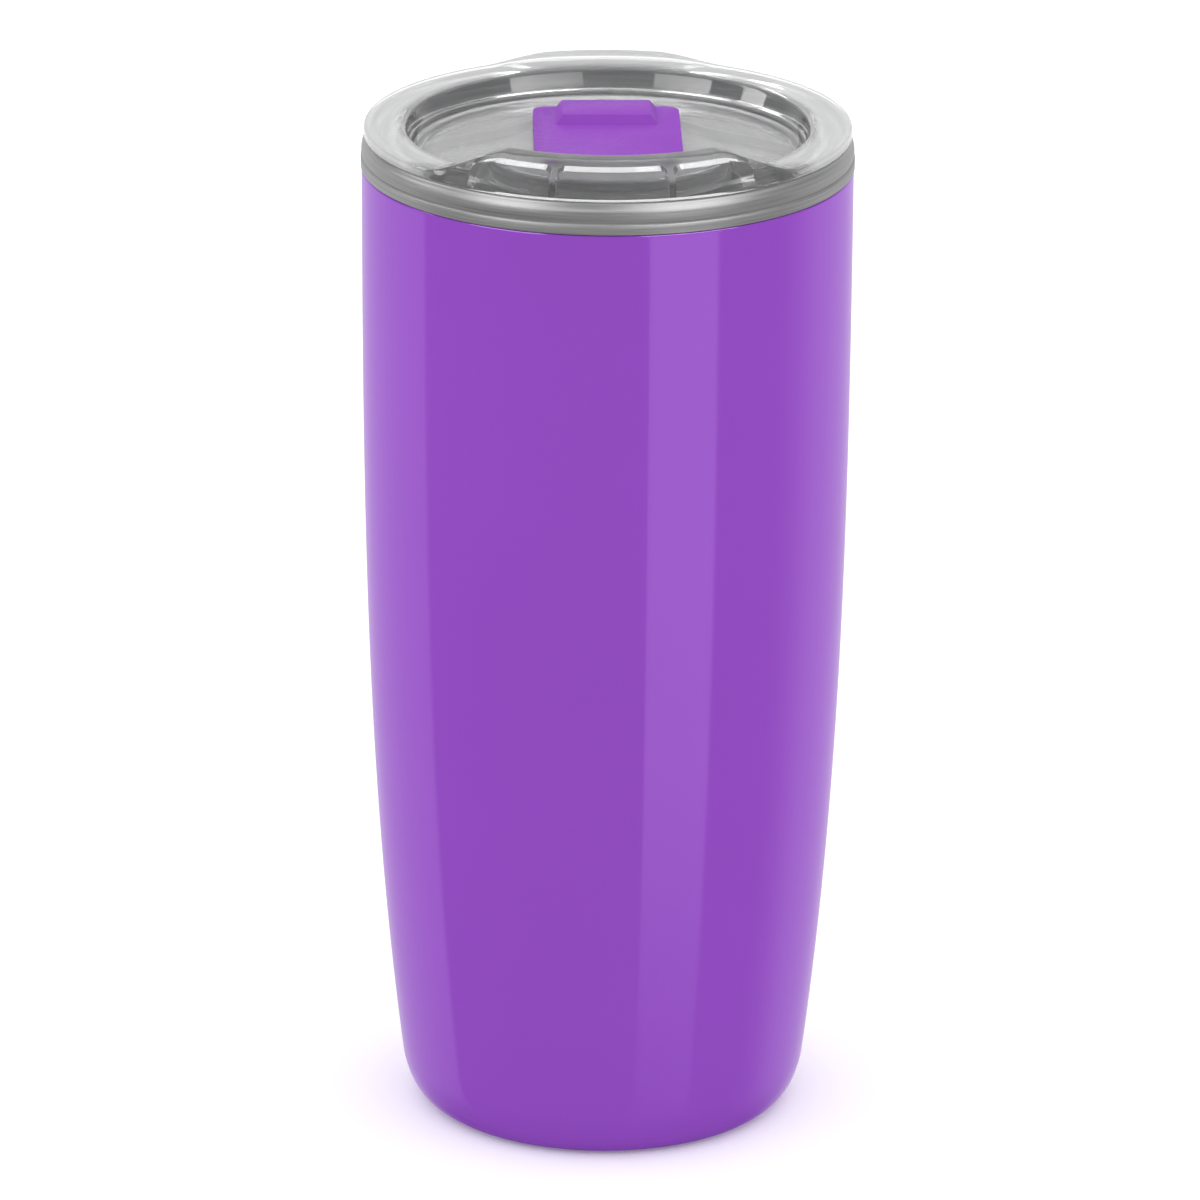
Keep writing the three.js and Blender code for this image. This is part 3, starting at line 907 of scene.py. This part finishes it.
def camera():
    """A long lens from in front and above. The lid is turned a little from square to it."""
    data = bpy.data.cameras.new("camera")
    data.lens = LENS
    data.sensor_width = SENSOR_WIDTH
    view = bpy.data.objects.new("camera", data)
    bpy.context.scene.collection.objects.link(view)
    ahead = Vector((math.sin(CAMERA_AZIMUTH), -math.cos(CAMERA_AZIMUTH), 0))
    back = ahead * math.cos(CAMERA_ELEVATION) + Vector((0, 0, math.sin(CAMERA_ELEVATION)))
    right = Vector((math.cos(CAMERA_AZIMUTH), math.sin(CAMERA_AZIMUTH), 0))
    target = Vector((0, 0, CAMERA_TARGET_Z)) - right * CAMERA_TARGET_LEFT
    facing = (-back).to_track_quat("-Z", "Y").to_matrix()
    turn = facing @ Matrix.Rotation(CAMERA_ROLL, 3, "Z")
    view.matrix_world = Matrix.Translation(target + back * CAMERA_DISTANCE) @ turn.to_4x4()
    bpy.context.scene.camera = view


def floor():
    bm = bmesh.new()
    bmesh.ops.create_grid(bm, x_segments=1, y_segments=1, size=FLOOR_HALF_SIZE)
    piece = add_object("floor", bm)
    look = Look("pale_floor")
    look.colours(look.noise(3), grey(0.94), grey(0.96))
    look.roughness(look.ramp(look.noise(40), 0.75, 0.85))
    look.set(Emission_Color=(1, 1, 1, 1), Emission_Strength=FLOOR_GLOW)
    piece.data.materials.append(look.material)
    piece.visible_glossy = False


class Sky(NodeTree):
    """The world's shader: numbers that depend on the direction."""

    def __init__(self):
        world = bpy.data.worlds.new("studio")
        bpy.context.scene.world = world
        world.use_nodes = True
        super().__init__(world.node_tree)
        direction = self.nodes.new("ShaderNodeTexCoord").outputs["Generated"]
        self.x, self.y, self.z = self.split(direction)

    def step(self, value, span, low=0.0, high=1.0):
        """From low to high, smoothly, as the value crosses the span."""
        node = self.nodes.new("ShaderNodeMapRange")
        node.interpolation_type = "SMOOTHSTEP"
        for socket, number in zip(node.inputs, (value, *span, low, high)):
            self.feed(socket, number)
        return node.outputs["Result"]

    def window(self, value, span, softness):
        """1 inside the span, with soft edges of the given half-widths."""
        rise = self.step(value, (span[0] - softness[0], span[0] + softness[0]))
        fall = self.step(value, (span[1] - softness[1], span[1] + softness[1]), 1.0, 0.0)
        return self.math("MULTIPLY", rise, fall)

    def blend(self, share, a, b):
        """a where the share is 0, b where it is 1."""
        return self.math("ADD", a, self.math("MULTIPLY", share, self.math("SUBTRACT", b, a)))

    def degrees_from_front(self):
        turn = self.math("ARCTAN2", self.x, self.math("MULTIPLY", self.y, -1.0))
        return self.math("MULTIPLY", turn, 180 / math.pi)


def panels(sky):
    """What shiny surfaces see: a strip light, panels left, right and behind, windows and a ceiling."""
    round_z = sky.degrees_from_front()
    strip = sky.window(round_z, STRIP_ANGLES, STRIP_SOFTNESS)
    strip = sky.math("MULTIPLY", strip, sky.step(sky.z, STRIP_FOOT, STRIP_FOOT_SHARE, 1.0))
    lower = sky.blend(strip, GLOSS_BASE, GLOSS_STRIP)
    lower = sky.blend(sky.step(round_z, LEFT_EDGE, 1.0, 0.0), lower, GLOSS_BACK)
    lower = sky.blend(sky.step(round_z, RIGHT_EDGE), lower, GLOSS_BACK)
    lower = sky.blend(sky.step(sky.z, DARK_GROUND), lower, GLOSS_BASE)
    # Above the horizon there are windows, which the lid and the steel mirror and bend.
    windows = 0.0
    for span in WINDOW_ANGLES:
        windows = sky.math("ADD", windows, sky.window(round_z, span, WINDOW_SOFTNESS))
    windows = sky.math("MULTIPLY", windows, sky.step(sky.z, WINDOW_SILL))
    upper = sky.blend(windows, 2 * GLOSS_BASE, GLOSS_WINDOW)
    behind = sky.step(sky.math("ABSOLUTE", round_z), BACK_EDGE)
    upper = sky.blend(behind, upper, GLOSS_ABOVE)
    level = sky.blend(sky.step(sky.z, HORIZON), lower, upper)
    return sky.blend(sky.step(sky.z, CEILING), level, GLOSS_ABOVE)


def soft_light(sky):
    """What dull surfaces get: even light, stronger from above and from the sides."""
    sides = sky.math("MULTIPLY", sky.math("MULTIPLY", sky.x, sky.x), DIFFUSE_SIDES)
    from_above = sky.step(sky.z, (-1.0, 1.0), *DIFFUSE_LIGHT)
    return sky.math("MULTIPLY", from_above, sky.math("ADD", sides, 1.0))


def studio():
    """Soft even light, and light panels that only shiny and clear surfaces see."""
    sky = Sky()
    rays = sky.nodes.new("ShaderNodeLightPath").outputs
    sees_panels = sky.math("MAXIMUM", rays["Is Glossy Ray"], rays["Is Transmission Ray"])
    sees_panels = sky.math("MAXIMUM", sees_panels, rays["Is Camera Ray"])
    background = sky.nodes["Background"]
    sky.feed(background.inputs["Strength"], sky.blend(sees_panels, soft_light(sky), panels(sky)))
    background.inputs["Color"].default_value = (1, 1, 1, 1)
    bpy.context.scene.view_settings.view_transform = "Standard"


camera()
studio()
floor()

paint = gloss_paint()
bright_steel = brushed_steel("liner_brushed_steel", dark=0.17, light=0.31, smooth=0.28, rough=0.42)
plain_steel = brushed_steel("base_brushed_steel", dark=0.4, light=0.52, smooth=0.3, rough=0.45)
clear = clear_plastic()
soft = silicone()

dress(painted_shell(), paint, "cup", "outer_shell")
dress(steel_liner(), bright_steel, "cup", "inner_liner")
dress(base_disc(), plain_steel, "cup", "outer_base")
dress(base_cover(), plain_steel, "cup", "base_cover")
dress(seal_bead(), fused_glass(), "cup", "seal_bead")
dress(getter_cup(), plain_steel, "cup", "getter_holder")
dress(getter_pill(), pressed_powder(), "cup", "getter_pellet")
dress(clear_lid(), clear, "lid", "lid_body")
dress(gasket_ring(), soft, "lid", "lid_gasket")
dress(purple_slider(), moulded_plastic(), "closure", "slider")
dress(drink_seal(), soft, "closure", "slider_seal")
